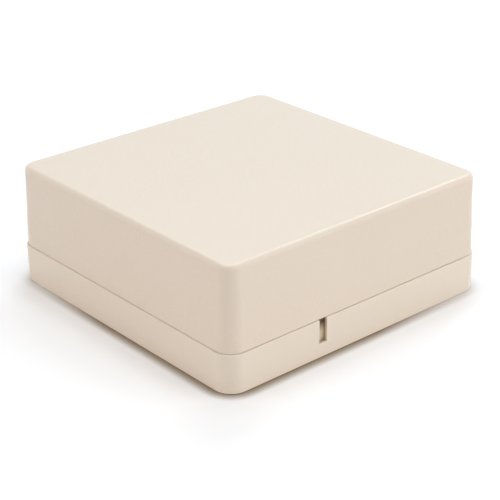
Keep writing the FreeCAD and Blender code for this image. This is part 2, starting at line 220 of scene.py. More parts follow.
class EffectShelf:
    """Builds each shared effect once, as a shader node group."""

    GRAIN_DETAIL = 2.0
    PIT_SHARE = 0.55
    WAVE_SCALE = 34.0
    WAVE_DETAIL = 1.0
    DRIFT_CLOUDS = {"Detail": 3.0, "Roughness": 0.45, "Distortion": 0.4}
    MID_TONE = 0.5
    RUB_AND_SHEEN_SAMPLES = 4
    BREAK_DETAIL = 4.0
    BREAK_RANGE = (0.2, 1.8)
    STREAK_DETAIL = 5.0

    def __init__(self) -> None:
        """Start with no effect built."""
        self._trees: dict[Effect, bpy.types.ShaderNodeTree] = {}

    def place(self, wiring: Wiring, effect: Effect, **values: object) -> dict[str, Socket]:
        """Put an effect into a material with values of its own.

        Args:
            wiring: The material's node tree.
            effect: The effect to place.
            values: The group's inputs by name.

        Returns:
            The group's outputs by name.
        """
        node = wiring.add("ShaderNodeGroup", node_tree=self._tree(effect))
        for name, value in values.items():
            wiring.feed(node, name, value)
        return {socket.name: socket for socket in node.outputs}

    def _tree(self, effect: Effect) -> bpy.types.ShaderNodeTree:
        """Find an effect's node tree, or build it on first use.

        Args:
            effect: The effect that is wanted.

        Returns:
            The effect's node tree.
        """
        if effect not in self._trees:
            build = {
                Effect.GRAIN: self._grain,
                Effect.DRIFT: self._drift,
                Effect.RUB: self._rub_and_sheen,
                Effect.STREAK: self._streak,
            }[effect]
            self._trees[effect] = build()
        return self._trees[effect]

    @staticmethod
    def _open(
        effect: Effect, takes: tuple[str, ...], gives: tuple[str, ...]
    ) -> tuple[Wiring, dict[str, Socket], bpy.types.Node]:
        """Start a group with number sockets.

        Args:
            effect: The effect that the group makes.
            takes: Names of its inputs.
            gives: Names of its outputs.

        Returns:
            The group's wiring, its inputs by name and its output node.
        """
        tree = bpy.data.node_groups.new(effect.value, "ShaderNodeTree")
        for socket in takes:
            tree.interface.new_socket(socket, in_out="INPUT", socket_type="NodeSocketFloat")
        for socket in gives:
            tree.interface.new_socket(socket, in_out="OUTPUT", socket_type="NodeSocketFloat")
        wiring = Wiring(tree)
        source = wiring.add("NodeGroupInput")
        return wiring, {name: source.outputs[name] for name in takes}, wiring.add("NodeGroupOutput")

    def _grain(self) -> bpy.types.ShaderNodeTree:
        """Build the spark-eroded grain that a mould leaves on plastic.

        Returns:
            The group.
        """
        wiring, takes, gives = self._open(Effect.GRAIN, ("Scale", "Waviness"), ("Height", "Tone"))
        place = wiring.point()
        fine = wiring.noise(place, takes["Scale"], Detail=self.GRAIN_DETAIL)
        inputs = {"Vector": place, "Scale": takes["Scale"]}
        pits = wiring.add("ShaderNodeTexVoronoi", inputs, feature="SMOOTH_F1")
        wave = wiring.noise(place, self.WAVE_SCALE, Detail=self.WAVE_DETAIL)
        grain = wiring.math("MULTIPLY_ADD", pits.outputs["Distance"], self.PIT_SHARE, fine)
        slow = wiring.math("MULTIPLY", wave, takes["Waviness"])
        wiring.feed(gives, "Height", wiring.math("ADD", grain, slow))
        wiring.feed(gives, "Tone", fine)
        return wiring.tree

    def _drift(self) -> bpy.types.ShaderNodeTree:
        """Build the slow change of tone across a moulding or a sheet.

        Returns:
            The group.
        """
        wiring, takes, gives = self._open(Effect.DRIFT, ("Scale", "Contrast"), ("Tone",))
        clouds = wiring.noise(wiring.point(), takes["Scale"], **self.DRIFT_CLOUDS)
        centred = wiring.math("SUBTRACT", clouds, self.MID_TONE)
        tone = wiring.math("MULTIPLY_ADD", centred, takes["Contrast"], self.MID_TONE, clamp=True)
        wiring.feed(gives, "Tone", tone)
        return wiring.tree

    def _rub_and_sheen(self) -> bpy.types.ShaderNodeTree:
        """Build the mask of lighter edges, partly rubbed by handling and partly a painted sheen, broken up
        so that it is uneven.

        Returns:
            The group.
        """
        wiring, takes, gives = self._open(Effect.RUB, ("Radius", "Gain", "Break Scale"), ("Mask",))
        place = wiring.point()
        rounded = wiring.add("ShaderNodeBevel", {"Radius": takes["Radius"]}, samples=self.RUB_AND_SHEEN_SAMPLES)
        flat = wiring.add("ShaderNodeNewGeometry")
        normals = {"Vector": rounded.outputs["Normal"], "Vector_001": flat.outputs["Normal"]}
        along = wiring.add("ShaderNodeVectorMath", normals, operation="DOT_PRODUCT")
        turned = wiring.math("SUBTRACT", 1.0, along.outputs["Value"], clamp=True)
        patches = wiring.noise(place, takes["Break Scale"], Detail=self.BREAK_DETAIL)
        patchy = wiring.span(patches, *self.BREAK_RANGE)
        mask = wiring.math("MULTIPLY", turned, takes["Gain"])
        wiring.feed(gives, "Mask", wiring.math("MULTIPLY", mask, patchy, clamp=True))
        return wiring.tree

    def _streak(self) -> bpy.types.ShaderNodeTree:
        """Build the fine lines that rolling leaves along Y on a metal strip.

        Returns:
            The group.
        """
        wiring, takes, gives = self._open(Effect.STREAK, ("Scale", "Stretch"), ("Lines",))
        place = wiring.point()
        squeeze = wiring.add("ShaderNodeCombineXYZ", {"X": 1.0, "Y": takes["Stretch"], "Z": 1.0})
        factors = {"Vector": place, "Vector_001": squeeze.outputs["Vector"]}
        pulled = wiring.add("ShaderNodeVectorMath", factors, operation="MULTIPLY")
        lines = wiring.noise(pulled.outputs["Vector"], takes["Scale"], Detail=self.STREAK_DETAIL)
        wiring.feed(gives, "Lines", lines)
        return wiring.tree


SHELF = EffectShelf()


def new_material(name: str) -> tuple[bpy.types.Material, Wiring, bpy.types.Node]:
    """Start a material.

    Args:
        name: The material's name.

    Returns:
        The material, its wiring and its Principled shader.
    """
    material = bpy.data.materials.new(name)
    material.use_nodes = True
    wiring = Wiring(material.node_tree)
    shader = material.node_tree.nodes["Principled BSDF"]
    return material, wiring, shader


def seen_share(wiring: Wiring) -> Socket:
    """Tell rays that show a surface, to the camera or in gloss or glass, from those that carry its light.

    Args:
        wiring: The node tree of the floor or the room.

    Returns:
        The output that is 1 on a ray that shows it, and else 0.
    """
    ray = wiring.add("ShaderNodeLightPath")
    seen = wiring.math("MAXIMUM", ray.outputs["Is Camera Ray"], ray.outputs["Is Glossy Ray"])
    return wiring.math("MAXIMUM", seen, ray.outputs["Is Transmission Ray"])


@dataclass(frozen=True)
class EdgeRubAndSheen:
    """How wide, how strong and how uneven the lighter edges of a finish are: rubbed, and with a painted
    sheen.
    """

    radius: float
    gain: float
    break_scale: float

    def mask(self, wiring: Wiring) -> Socket:
        """Return the mask of rubbed edges, with their painted sheen, in a material."""
        values = {"Radius": self.radius, "Gain": self.gain, "Break Scale": self.break_scale}
        return SHELF.place(wiring, Effect.RUB, **values)["Mask"]


@dataclass(frozen=True)
class MouldedPlastic:
    """Satin moulded plastic: fine grain, slow drift of tone, and edges that are lighter, partly polished and
    partly a painted sheen.
    """

    name: str
    colour: Colour
    deep_colour: Colour
    rubbed_and_sheen_colour: Colour
    roughness: Range
    grain_scale: float = 5200.0
    grain_depth: float = 0.012 * MM
    grain_strength: float = 0.6
    waviness: float = 2.0
    drift_scale: float = 26.0
    drift_contrast: float = 1.6
    rub_and_sheen: EdgeRubAndSheen = EdgeRubAndSheen(radius=0.45 * MM, gain=1.2, break_scale=420.0)
    ior: float = 1.5

    def build(self) -> bpy.types.Material:
        """Wire the finish.

        Returns:
            The finish as a material.
        """
        material, wiring, shader = new_material(self.name)
        grain = SHELF.place(wiring, Effect.GRAIN, Scale=self.grain_scale, Waviness=self.waviness)
        drift = SHELF.place(wiring, Effect.DRIFT, Scale=self.drift_scale, Contrast=self.drift_contrast)
        body = wiring.mix(drift["Tone"], self.colour, self.deep_colour)
        # Edges lightened: partly handling wear, partly a painted sheen.
        edged = wiring.mix(self.rub_and_sheen.mask(wiring), body, self.rubbed_and_sheen_colour)
        wiring.feed(shader, "Base Color", self._paint_shade(wiring, edged))
        wiring.feed(shader, "Roughness", wiring.span(grain["Tone"], *self.roughness))
        wiring.feed(shader, "Normal", wiring.bump(grain["Height"], self.grain_depth, self.grain_strength))
        wiring.feed(shader, "IOR", self.ior)
        return material

    def _paint_shade(self, wiring: Wiring, colour: Socket) -> Socket:
        """Return the colour as it is; a kind of this plastic may paint shade on it in places."""
        return colour


@dataclass(frozen=True)
class SlottedPlastic(MouldedPlastic):
    """The base's plastic, with shade painted inside its pry slot: warmed, and darkened where the cover's
    foot keeps the light out.
    """

    # Painted shade inside the pry slot: a warm tint, and a dark colour for its corners and under the rim.
    painted_warm_colour: Colour = (0.82, 0.685, 0.5)
    painted_shade_colour: Colour = (0.1, 0.06, 0.018)
    slot_left: float = -13.6 * MM
    slot_right: float = -11.3 * MM
    slot_edge: float = 0.1 * MM
    outer_face: float = -40.0 * MM
    rim: float = 9.5 * MM
    mouth: Range = (0.3 * MM, 0.88 * MM)
    back_face: Range = (0.7 * MM, 0.88 * MM)
    wall_inside: Range = (1.4 * MM, 1.1 * MM)
    corner_reach: float = 3.0 * MM
    corner_light: Range = (1.0, 0.35)
    corner_share: float = 0.7
    corner_fall: float = 1.3
    shadow_drop: float = 3.65 * MM
    shadow_start: float = 1.15 * MM

    def _paint_shade(self, wiring: Wiring, colour: Socket) -> Socket:
        """Paint shade into the pry slot: warm it, and darken its inner corners and, towards the rim, its
        back.

        Args:
            wiring: The material's node tree.
            colour: The output that carries the plastic's colour.

        Returns:
            The output that carries the colour with the painted shade.
        """
        across, inward, height = wiring.axes()
        depth = wiring.math("SUBTRACT", inward, self.outer_face)
        inside = wiring.ramp(depth, *self.mouth)
        for value, start, end in (
            (depth, *self.wall_inside),
            (across, self.slot_left - 2 * self.slot_edge, self.slot_left - self.slot_edge),
            (across, self.slot_right + 2 * self.slot_edge, self.slot_right + self.slot_edge),
            (height, self.rim - self.slot_edge / 2, self.rim - self.slot_edge),
        ):
            inside = wiring.math("MULTIPLY", inside, wiring.ramp(value, start, end))
        # Painted shade: darker in the slot's inner corners, where little light reaches.
        corner = wiring.ramp(wiring.openness(self.corner_reach), *self.corner_light)
        corner = wiring.math("POWER", corner, self.corner_fall)
        corner = wiring.math("MULTIPLY", corner, self.corner_share)
        # Painted shadow of the cover's foot on the slot's back, darker towards the rim.
        under = wiring.ramp(height, self.rim - self.shadow_drop, self.rim - self.shadow_start)
        under = wiring.math("MULTIPLY", under, wiring.ramp(depth, *self.back_face))
        lit = wiring.math("MULTIPLY", wiring.rest(corner), wiring.rest(under))
        # The slot is warmed and then darkened; both are painted shade.
        dark = wiring.math("MULTIPLY", inside, wiring.rest(lit))
        warm = wiring.mix(inside, colour, self.painted_warm_colour)
        return wiring.mix(dark, warm, self.painted_shade_colour)


@dataclass(frozen=True)
class RolledMetal:
    """Strip metal with rolling lines, slow tarnish and brighter sheared edges."""

    name: str
    colour: Colour
    tarnish_colour: Colour
    sheared_colour: Colour
    roughness: Range
    streak_scale: float = 9000.0
    streak_stretch: float = 0.03
    streak_depth: float = 0.006 * MM
    streak_strength: float = 0.5
    drift_scale: float = 240.0
    drift_contrast: float = 2.2
    rub_and_sheen: EdgeRubAndSheen = EdgeRubAndSheen(radius=0.2 * MM, gain=2.5, break_scale=1800.0)

    def build(self) -> bpy.types.Material:
        """Wire the finish.

        Returns:
            The finish as a material.
        """
        material, wiring, shader = new_material(self.name)
        streak = SHELF.place(wiring, Effect.STREAK, Scale=self.streak_scale, Stretch=self.streak_stretch)
        drift = SHELF.place(wiring, Effect.DRIFT, Scale=self.drift_scale, Contrast=self.drift_contrast)
        sheet = wiring.mix(drift["Tone"], self.colour, self.tarnish_colour)
        wiring.feed(shader, "Base Color", wiring.mix(self.rub_and_sheen.mask(wiring), sheet, self.sheared_colour))
        wiring.feed(shader, "Roughness", wiring.span(streak["Lines"], *self.roughness))
        wiring.feed(shader, "Normal", wiring.bump(streak["Lines"], self.streak_depth, self.streak_strength))
        shader.inputs["Metallic"].default_value = 1.0
        return material


@dataclass(frozen=True)
class TurnedMetal:
    """Plated turned metal: rings left by the tool, read from the piece's own turning map."""

    name: str
    colour: Colour
    dull_colour: Colour
    rubbed_and_sheen_colour: Colour
    roughness: Range
    ring_scale: float = 30.0
    ring_wobble: float = 1.5
    ring_detail: float = 2.0
    ring_depth: float = 0.006 * MM
    ring_strength: float = 0.4
    drift_scale: float = 700.0
    drift_contrast: float = 2.4
    rub_and_sheen: EdgeRubAndSheen = EdgeRubAndSheen(radius=0.15 * MM, gain=2.5, break_scale=2500.0)

    def build(self) -> bpy.types.Material:
        """Wire the finish.

        Returns:
            The finish as a material.
        """
        material, wiring, shader = new_material(self.name)
        turning = wiring.add("ShaderNodeUVMap", uv_map=TURNING_MAP).outputs["UV"]
        look = {"Scale": self.ring_scale, "Distortion": self.ring_wobble, "Detail": self.ring_detail}
        rings = wiring.add(
            "ShaderNodeTexWave", {"Vector": turning, **look}, wave_type="BANDS", bands_direction="X"
        )
        drift = SHELF.place(wiring, Effect.DRIFT, Scale=self.drift_scale, Contrast=self.drift_contrast)
        plating = wiring.mix(drift["Tone"], self.colour, self.dull_colour)
        wiring.feed(shader, "Base Color", wiring.mix(self.rub_and_sheen.mask(wiring), plating, self.rubbed_and_sheen_colour))
        wiring.feed(shader, "Roughness", wiring.span(drift["Tone"], *self.roughness))
        wiring.feed(shader, "Normal", wiring.bump(rings.outputs["Fac"], self.ring_depth, self.ring_strength))
        shader.inputs["Metallic"].default_value = 1.0
        return material


@dataclass(frozen=True)
class WhiteFloor:
    """Matt white table top that keeps the box's shadow, with a painted contact shadow, a dark line where the
    box stands on it, and painted light that whitens it around the shadow.
    """

    name: str = "white_floor"
    colour: Colour = (0.94, 0.94, 0.94)
    painted_shadow_colour: Colour = (0.2, 0.125, 0.04)
    contact_reach: float = 3.0 * MM
    contact_fall: float = 3.3
    end_corners: Range = (80.0 * MM, 45.0 * MM)
    end_share: float = 0.85
    shade_reach: float = 12.0 * MM
    shade_light: Range = (0.62, 1.0)
    shade_lift: float = 0.09
    near_white: Range = (48.0 * MM, 62.0 * MM)
    near_lift: float = 0.06
    left_corner: float = 30.0 * MM
    far_white: Range = (0.3, 0.8)

    def build(self) -> bpy.types.Material:
        """Wire the finish.

        Returns:
            The finish as a material.
        """
        material, wiring, shader = new_material(self.name)
        seen = seen_share(wiring)
        # Painted contact shadow, shown to the camera and in reflections only.
        line = wiring.math("MULTIPLY", self._painted_contact_shadow(wiring), seen)
        wiring.feed(shader, "Base Color", wiring.mix(line, self.colour, self.painted_shadow_colour))
        shader.inputs["Roughness"].default_value = 1.0
        shader.inputs["Specular IOR Level"].default_value = 0.0
        # Painted light: a glow, seen by the camera and in reflections, that whitens the floor around the
        # box's shadow.
        strength = wiring.math("MULTIPLY", seen, self._painted_light(wiring))
        painted_glow = wiring.add("ShaderNodeEmission", {"Strength": strength}).outputs["Emission"]
        both = {"Shader": shader.outputs["BSDF"], "Shader_001": painted_glow}
        total = wiring.add("ShaderNodeAddShader", both)
        wiring.feed(material.node_tree.nodes["Material Output"], "Surface", total.outputs["Shader"])
        return material

    def _painted_contact_shadow(self, wiring: Wiring) -> Socket:
        """Paint the contact shadow, a dark line under the box, weaker at the two corners that the side lamps
        reach under.

        Args:
            wiring: The material's node tree.

        Returns:
            The output that carries the painted shadow's strength.
        """
        covered = wiring.rest(wiring.math("POWER", wiring.openness(self.contact_reach), self.contact_fall))
        x, y, _ = wiring.axes()
        aside = wiring.math("ABSOLUTE", wiring.math("SUBTRACT", x, y))
        share = wiring.ramp(aside, *self.end_corners, self.end_share)
        return wiring.math("MULTIPLY", covered, wiring.math("ADD", share, 1.0 - self.end_share))

    def _painted_light(self, wiring: Wiring) -> Socket:
        """Paint light on the floor, which narrows the box's shadow: whiten it out of the box's shade and
        beyond its sides and left corner; also whiten it far away.

        Args:
            wiring: The material's node tree.

        Returns:
            The output that carries the painted light to add.
        """
        lift = wiring.ramp(wiring.openness(self.shade_reach), *self.shade_light, self.shade_lift)
        x, y, _ = wiring.axes()
        beside = wiring.math("MAXIMUM", wiring.math("ABSOLUTE", x), wiring.math("ABSOLUTE", y))
        corner = wiring.math("SUBTRACT", wiring.math("SUBTRACT", y, x), self.left_corner)
        near = wiring.ramp(wiring.math("MAXIMUM", beside, corner), *self.near_white, self.near_lift)
        away = wiring.add("ShaderNodeVectorMath", {"Vector": wiring.point()}, operation="LENGTH")
        far = wiring.ramp(away.outputs["Value"], *self.far_white)
        return wiring.math("ADD", wiring.math("ADD", lift, near), far)


class Bench:
    """Modelling moves that every sub-assembly uses, on one piece at a time."""

    SMOOTH_ANGLE = math.radians(42.0)
    FLAT_ANGLE = math.radians(0.2)
    FACING = 0.9
    NEAR = 0.01 * MM
    MERGE = 0.0005 * MM
    SLICE_MERGE = 0.0001 * MM
    CUT_SPARE = 1.0 * MM
    LEAST_RUN = 1.0 * MM
    ROUND_SIDES = 48
    DRILL_SIDES = 32

    @staticmethod
    def clear() -> None:
        """Leave edit mode and drop every selection."""
        if bpy.context.object is not None and bpy.context.object.mode != "OBJECT":
            bpy.ops.object.mode_set(mode="OBJECT")
        bpy.ops.object.select_all(action="DESELECT")

    @classmethod
    def take(cls, piece: Piece) -> None:
        """Select one piece alone and make it the active one.

        Args:
            piece: The piece to work on.
        """
        cls.clear()
        bpy.context.view_layer.objects.active = piece
        piece.select_set(True)

    @classmethod
    def edit(cls, piece: Piece) -> None:
        """Enter edit mode on one piece with all of it selected.

        Args:
            piece: The piece to work on.
        """
        cls.take(piece)
        bpy.ops.object.mode_set(mode="EDIT")
        bpy.ops.mesh.select_all(action="SELECT")

    @staticmethod
    def _settle(name: str) -> Piece:
        """Name the primitive just added and put its place into its mesh.

        Args:
            name: The piece's name.

        Returns:
            The piece.
        """
        piece = bpy.context.object
        bpy.ops.object.transform_apply(location=True, rotation=True, scale=True)
        piece.name = name
        piece.data.name = name
        return piece

    @classmethod
    def cuboid(cls, name: str, low: Vector, high: Vector) -> Piece:
        """Add a box between two corners.

        Args:
            name: The piece's name.
            low: The lowest corner.
            high: The highest corner.

        Returns:
            The new piece, with its place in its mesh.
        """
        cls.clear()
        bpy.ops.mesh.primitive_cube_add(size=1.0, location=(low + high) / 2, scale=high - low)
        return cls._settle(name)

    @classmethod
    def rod(cls, name: str, foot: Vector, radius: float, height: float, sides: int = ROUND_SIDES) -> Piece:
        """Add an upright round bar.

        Args:
            name: The piece's name.
            foot: The middle of its lower end.
            radius: Its radius.
            height: Its height.
            sides: How many flats make it round.

        Returns:
            The new piece, with its place in its mesh.
        """
        cls.clear()
        middle = foot + UP * (height / 2)
        bpy.ops.mesh.primitive_cylinder_add(vertices=sides, radius=radius, depth=height, location=middle)
        return cls._settle(name)

    @classmethod
    def drills(cls, places: list[Vector], foot: float, radius: float, height: float) -> list[Piece]:
        """Stand a round cutter at each place.

        Args:
            places: The axis of each cutter.
            foot: The height of its lower end.
            radius: Its radius.
            height: Its length.

        Returns:
            The cutters.
        """
        return [cls.rod("drill", place + UP * foot, radius, height, cls.DRILL_SIDES) for place in places]

    @staticmethod
    def pick(piece: Piece, kind: Pick, test: Test) -> None:
        """Select, in edit mode, the faces or edges that pass a test.

        Args:
            piece: The piece being edited.
            kind: Whether faces or edges are picked.
            test: Says of one face or edge whether it is wanted.
        """
        bpy.ops.mesh.select_mode(type=kind.value)
        bpy.ops.mesh.select_all(action="DESELECT")
        mesh = bmesh.from_edit_mesh(piece.data)
        for item in mesh.faces if kind is Pick.FACES else mesh.edges:
            if test(item):
                item.select_set(True)
        bmesh.update_edit_mesh(piece.data)

    @staticmethod
    def run(edge: bmesh.types.BMEdge) -> Vector:
        """Return how far an edge runs along each axis, either way."""
        first, second = edge.verts
        return Vector([abs(step) for step in first.co - second.co])

    @classmethod
    def slice_at(cls, place: Vector, normal: Vector) -> None:
        """Divide the edited mesh where a plane crosses it."""
        bpy.ops.mesh.select_all(action="SELECT")
        bpy.ops.mesh.bisect(plane_co=place, plane_no=normal, threshold=cls.SLICE_MERGE)

    @staticmethod
    def draw_out(move: Vector) -> None:
        """Extrude the picked faces along a move."""
        bpy.ops.mesh.extrude_region_move(TRANSFORM_OT_translate={"value": move})

    @staticmethod
    def round_edges(width: float, strips: int) -> None:
        """Round the picked edges."""
        bpy.ops.mesh.bevel(offset=width, segments=strips, affect="EDGES")

    @classmethod
    def carve(cls, piece: Piece, cutters: list[Piece]) -> None:
        """Cut several shapes out of a piece and drop them.

        Args:
            piece: The piece to cut.
            cutters: Closed shapes to take away.
        """
        for cutter in cutters:
            cls.take(piece)
            cut = piece.modifiers.new("cut", "BOOLEAN")
            cut.operation = "DIFFERENCE"
            cut.solver = "EXACT"
            cut.object = cutter
            bpy.ops.object.modifier_apply(modifier=cut.name)
            bpy.data.objects.remove(cutter)

    @classmethod
    def tidy_flats(cls, piece: Piece) -> None:
        """Merge doubles and clear the lines that divide flat faces.

        Args:
            piece: The piece to clean.
        """
        cls.edit(piece)
        bpy.ops.mesh.remove_doubles(threshold=cls.MERGE)
        bpy.ops.mesh.dissolve_limited(angle_limit=cls.FLAT_ANGLE)
        bpy.ops.object.mode_set(mode="OBJECT")

    @classmethod
    def soften(cls, piece: Piece, width: float, strips: int = 2) -> None:
        """Round the sharp edges that are left and smooth the shading.

        Args:
            piece: The piece to finish.
            width: How far a rounding reaches from its edge.
            strips: How many strips make a rounding.
        """
        cls.take(piece)
        bpy.ops.object.shade_smooth()
        bevel = piece.modifiers.new("soften", "BEVEL")
        bevel.width = width
        bevel.segments = strips
        bevel.limit_method = "ANGLE"
        bevel.angle_limit = cls.SMOOTH_ANGLE
        bpy.ops.object.modifier_apply(modifier=bevel.name)
        even = piece.modifiers.new("even", "WEIGHTED_NORMAL")
        even.keep_sharp = True
        bpy.ops.object.modifier_apply(modifier=even.name)

    @staticmethod
    def repeat(piece: Piece, name: str, change: Matrix) -> Piece:
        """Copy a piece, with a mesh of its own, to another place.

        Args:
            piece: The piece to copy.
            name: The copy's name.
            change: The move or turn that is put into the copy's mesh.

        Returns:
            The copy.
        """
        copy = bpy.data.objects.new(name, piece.data.copy())
        copy.data.name = name
        copy.data.transform(change)
        bpy.context.scene.collection.objects.link(copy)
        return copy


def seat_piece(piece: Piece, body: Body, slot: Slot, material: bpy.types.Material, *nodes: str) -> None:
    """Dress a finished piece, join it to the frame and report it.

    Args:
        piece: The finished piece.
        body: The body it rides on.
        slot: The record's material slot; not used.
        material: Its finish.
        nodes: The solids that it stands for.
    """
    piece.data.materials.clear()
    piece.data.materials.append(material)
    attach(piece, body.value)
    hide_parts(*nodes)
    LOG.info("%s: %d faces, on %s", piece.name, len(piece.data.polygons), body.value)


@dataclass
class MouldedShell:
    """One of the two shells of the box, with its moulded edges just broken."""

    node: str
    body: Body
    slot: Slot
    finish: MouldedPlastic
    edge_break: float = 0.03 * MM

    def build(self) -> None:
        """Make the shell from its solid, with doubles merged and sharp edges broken."""
        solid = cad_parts[self.node]
        shell = Bench.repeat(solid, self.node + "_shell", Matrix.Identity(4))
        Bench.edit(shell)
        bpy.ops.mesh.customdata_custom_splitnormals_clear()
        Bench.tidy_flats(shell)
        Bench.soften(shell, self.edge_break)
        seat_piece(shell, self.body, self.slot, self.finish.build(), self.node)


@dataclass
class SlottedScrew:
    """A turned screw with a rounded, slotted head, driven down on its seat."""

    name: str
    node: str
    head_radius: float
    shank_radius: float
    seat: float
    top: float
    tip: float
    crown: float = 0.45 * MM
    crown_strips: int = 5
    slot_width: float = 0.9 * MM
    slot_depth: float = 1.0 * MM
    slot_reach: float = 1.2
    thread_pitch: float = 0.6 * MM
    thread_depth: float = 0.3 * MM
    tip_share: float = 0.6
    edge_break: float = 0.06 * MM

    def model(self) -> Piece:
        """Model one screw.

        Returns:
            The screw, on the upright axis through the origin.
        """
        screw = Bench.rod(self.name, UP * self.seat, self.head_radius, self.top - self.seat)
        self._round_head(screw)
        self._draw_shank(screw)
        reach = self.head_radius * self.slot_reach
        half = self.slot_width / 2
        cutter = Bench.cuboid(
            "slot_cutter",
            Vector((-reach, -half, self.top - self.slot_depth)),
            Vector((reach, half, self.top + self.slot_depth)),
        )
        Bench.carve(screw, [cutter])
        Bench.soften(screw, self.edge_break)
        self._map_turning(screw)
        return screw

    def _round_head(self, screw: Piece) -> None:
        """Round the head's upper edge.

        Args:
            screw: The screw being made.
        """
        Bench.edit(screw)
        Bench.pick(screw, Pick.EDGES, lambda e: min(v.co.z for v in e.verts) > self.top - Bench.NEAR)
        Bench.round_edges(self.crown, self.crown_strips)

    def _draw_shank(self, screw: Piece) -> None:
        """Draw the shank down from the head, with a ridge for every turn of its thread.

        Args:
            screw: The screw being made.
        """
        core = self.shank_radius - self.thread_depth
        step = UP * (-self.thread_pitch / 2)
        turns = int((self.seat - self.tip) / self.thread_pitch)
        Bench.pick(screw, Pick.FACES, lambda f: f.normal.z < -Bench.FACING)
        bpy.ops.mesh.inset(thickness=self.head_radius - core)
        for size in (self.shank_radius / core, core / self.shank_radius) * turns + (self.tip_share,):
            Bench.draw_out(step)
            bpy.ops.transform.resize(value=(size, size, 1.0), center_override=Vector())
        bpy.ops.object.mode_set(mode="OBJECT")

    def _map_turning(self, screw: Piece) -> None:
        """Write each corner's distance from the axis and its height to the turning map.

        Args:
            screw: The screw being made.
        """
        mesh = screw.data
        for layer in list(mesh.uv_layers):
            mesh.uv_layers.remove(layer)
        layer = mesh.uv_layers.new(name=TURNING_MAP)
        for loop in mesh.loops:
            place = mesh.vertices[loop.vertex_index].co
            layer.data[loop.index].uv = (place.xy.length / self.head_radius, place.z / MM)

    def drive(self, places: list[Vector], finish: TurnedMetal, turns: random.Random) -> None:
        """Drive one screw at each place, its slot stopped where it came tight.

        Args:
            places: The axis of each screw.
            finish: The screws' finish.
            turns: Source of the slots' angles.
        """
        first = self.model()
        material = finish.build()
        for number, place in enumerate(places, start=1):
            turn = Matrix.Rotation(turns.uniform(0.0, math.pi), 4, "Z")
            copy = Bench.repeat(first, "%s_%d" % (self.name, number), Matrix.Translation(place) @ turn)
            seat_piece(copy, Body.BASE, Slot.STEEL, material, self.node)
        bpy.data.objects.remove(first)


